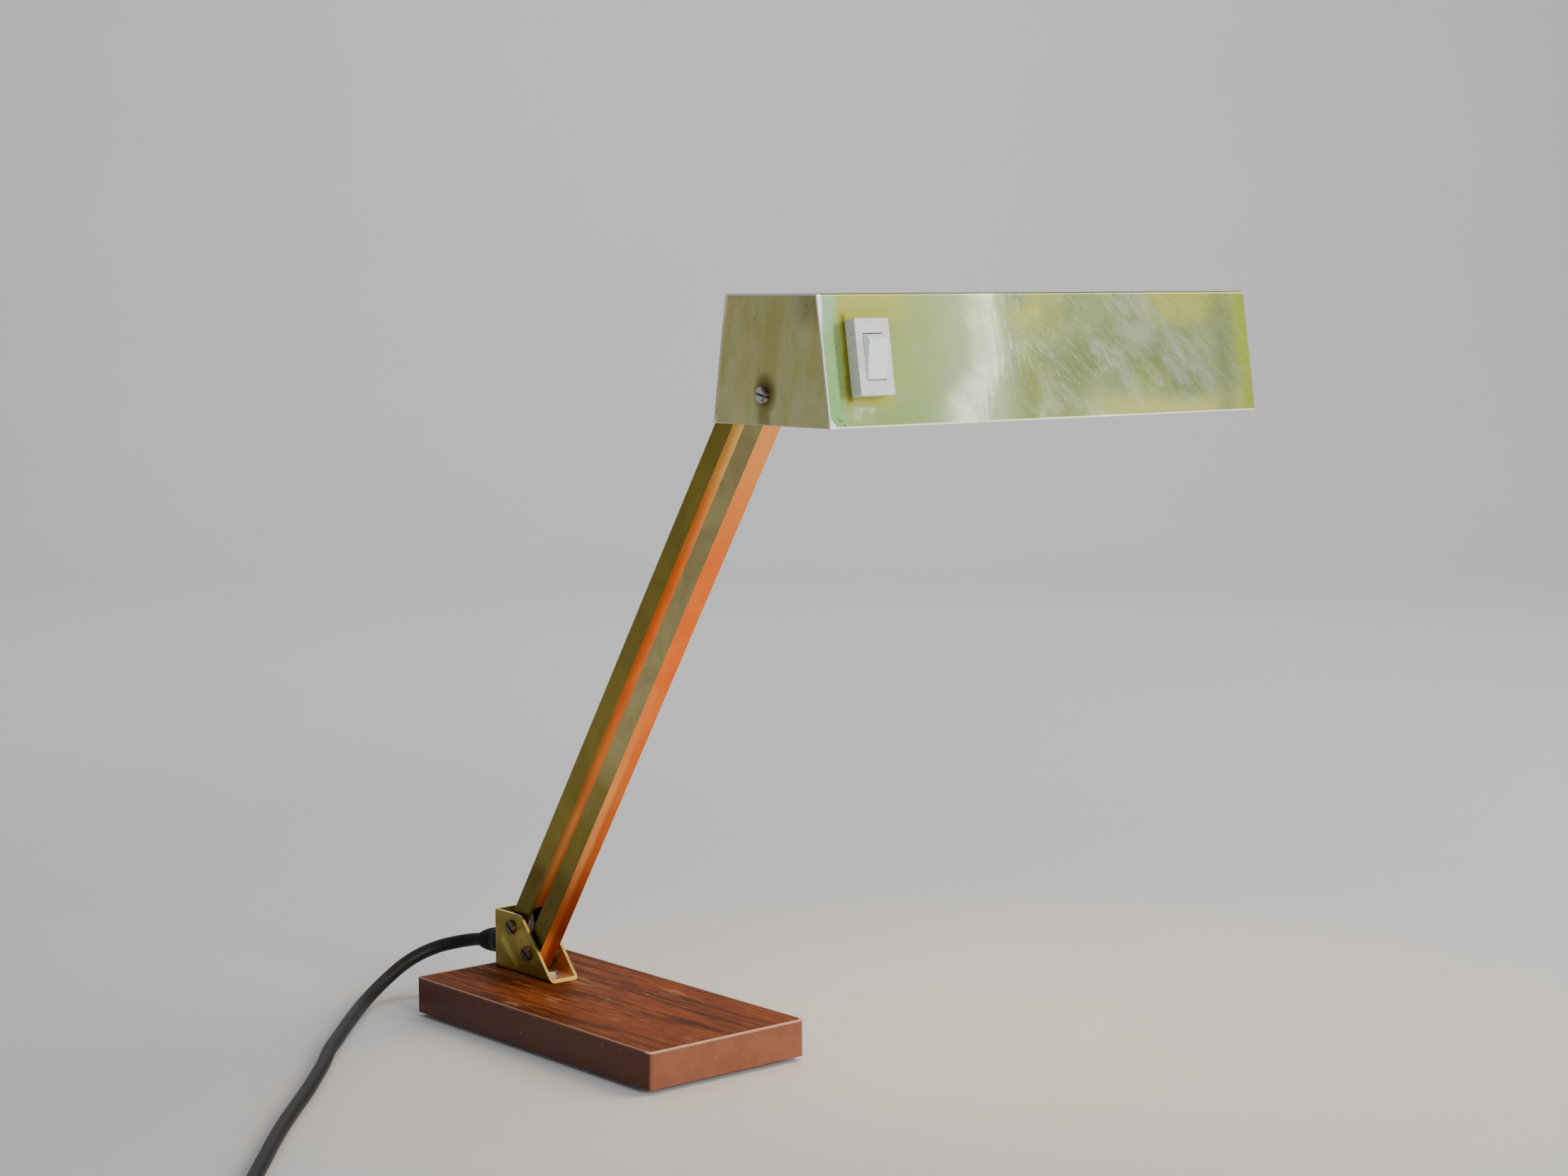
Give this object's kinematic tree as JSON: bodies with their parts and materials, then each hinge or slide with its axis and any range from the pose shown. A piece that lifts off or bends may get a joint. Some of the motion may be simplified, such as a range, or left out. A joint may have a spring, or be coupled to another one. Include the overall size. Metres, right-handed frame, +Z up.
{
  "type": "desk lamp",
  "caption": "Swing arm desk lamp: a long brass trough shade held level by twin square tubes on a weighted, wood-topped rectangular base.",
  "frame": {"origin": "centre of the base's footprint, on the surface the lamp stands on", "axes": "+X the way the arms lean, +Y along the pivots and the shade's length, +Z up"},
  "size_m": [0.5229, 0.6587, 0.3999],
  "materials": {
    "lacquer": "satin",
    "veneer": "satin",
    "iron": "rough",
    "zinc_steel": "satin",
    "dark_steel": "satin",
    "felt": "matte",
    "brass": "tarnished",
    "raw_brass": "satin",
    "nylon": "matte",
    "fibre": "matte",
    "black_rubber": "satin",
    "black_plastic": "satin",
    "bakelite": "gloss",
    "white_paint": "satin",
    "opal_glass": "frosted",
    "lead_pvc": "satin",
    "switch_plastic": "satin",
    "cord_pvc": "satin",
    "tie_strap": "matte"
  },
  "bodies": {
    "base": {"base_shell": "lacquer", "veneer_top": "veneer", "ballast_weight": "iron", "bottom_cover": "zinc_steel", "felt_pad": "felt", "cover_screws": "zinc_steel", "pivot_bracket": "brass", "bracket_screws": "zinc_steel", "bracket_nuts": "zinc_steel", "lower_pivot_screws": "dark_steel", "lower_pivot_nuts": "zinc_steel", "lower_spacers": "nylon", "strain_relief": "black_rubber", "gland_nut": "black_plastic", "entry_leads": "lead_pvc", "mains_cord": "cord_pvc", "cord_coil": "cord_pvc", "cord_tie": "tie_strap", "cord_tail": "cord_pvc", "mains_plug": "black_rubber", "plug_pins": "zinc_steel"},
    "rear_arm": {"rear_tube": "brass", "rear_bushes": "nylon", "arm_lead": "lead_pvc"},
    "front_arm": {"front_tube": "brass", "front_bushes": "nylon"},
    "carrier": {"carrier_plate": "raw_brass", "rear_upper_pin": "zinc_steel", "head_pivot_screw": "zinc_steel", "carrier_washers": "fibre", "head_lock_nut": "zinc_steel"},
    "head": {"head_shell": "brass", "left_end_plate": "brass", "right_end_plate": "brass", "head_bracket": "zinc_steel", "earth_screw": "raw_brass", "reflector": "white_paint", "reflector_studs": "raw_brass", "reflector_spacers": "zinc_steel", "reflector_nuts": "zinc_steel", "holder_bracket": "zinc_steel", "lamp_holder": "bakelite", "bulb_cap": "raw_brass", "bulb_glass": "opal_glass", "head_leads": "lead_pvc", "switch_bezel": "switch_plastic", "switch_body": "black_plastic", "switch_screws": "zinc_steel", "switch_terminals": "raw_brass"},
    "rocker": {"rocker": "switch_plastic"}
  },
  "joints": [
    {"name": "arm_swing", "type": "hinge", "parent": "base", "child": "rear_arm", "pos_m": [-0.081, 0.005, 0.0475], "axis": [0, 1, 0], "range_deg": [-33, 37]},
    {"name": "front_arm_swing", "type": "hinge", "parent": "base", "child": "front_arm", "pos_m": [-0.066, 0.005, 0.035], "axis": [0, 1, 0], "range_deg": [-33, 37]},
    {"name": "head_level", "type": "hinge", "parent": "rear_arm", "child": "carrier", "pos_m": [0.12461, 0.005, 0.3629], "axis": [0, 1, 0], "range_deg": [-37, 33]},
    {"name": "head_tilt", "type": "hinge", "parent": "carrier", "child": "head", "pos_m": [0.13961, 0.005, 0.3504], "axis": [0, 1, 0], "range_deg": [-20, 30]},
    {"name": "rocker_switch", "type": "hinge", "parent": "head", "child": "rocker", "pos_m": [0.18814, 0.0236, 0.36904], "axis": [0, 1, 0], "range_deg": [-24, 0]}
  ],
  "couplings": [
    {"joint": "front_arm_swing", "follows": "arm_swing", "ratio": 1},
    {"joint": "head_level", "follows": "arm_swing", "ratio": -1}
  ]
}
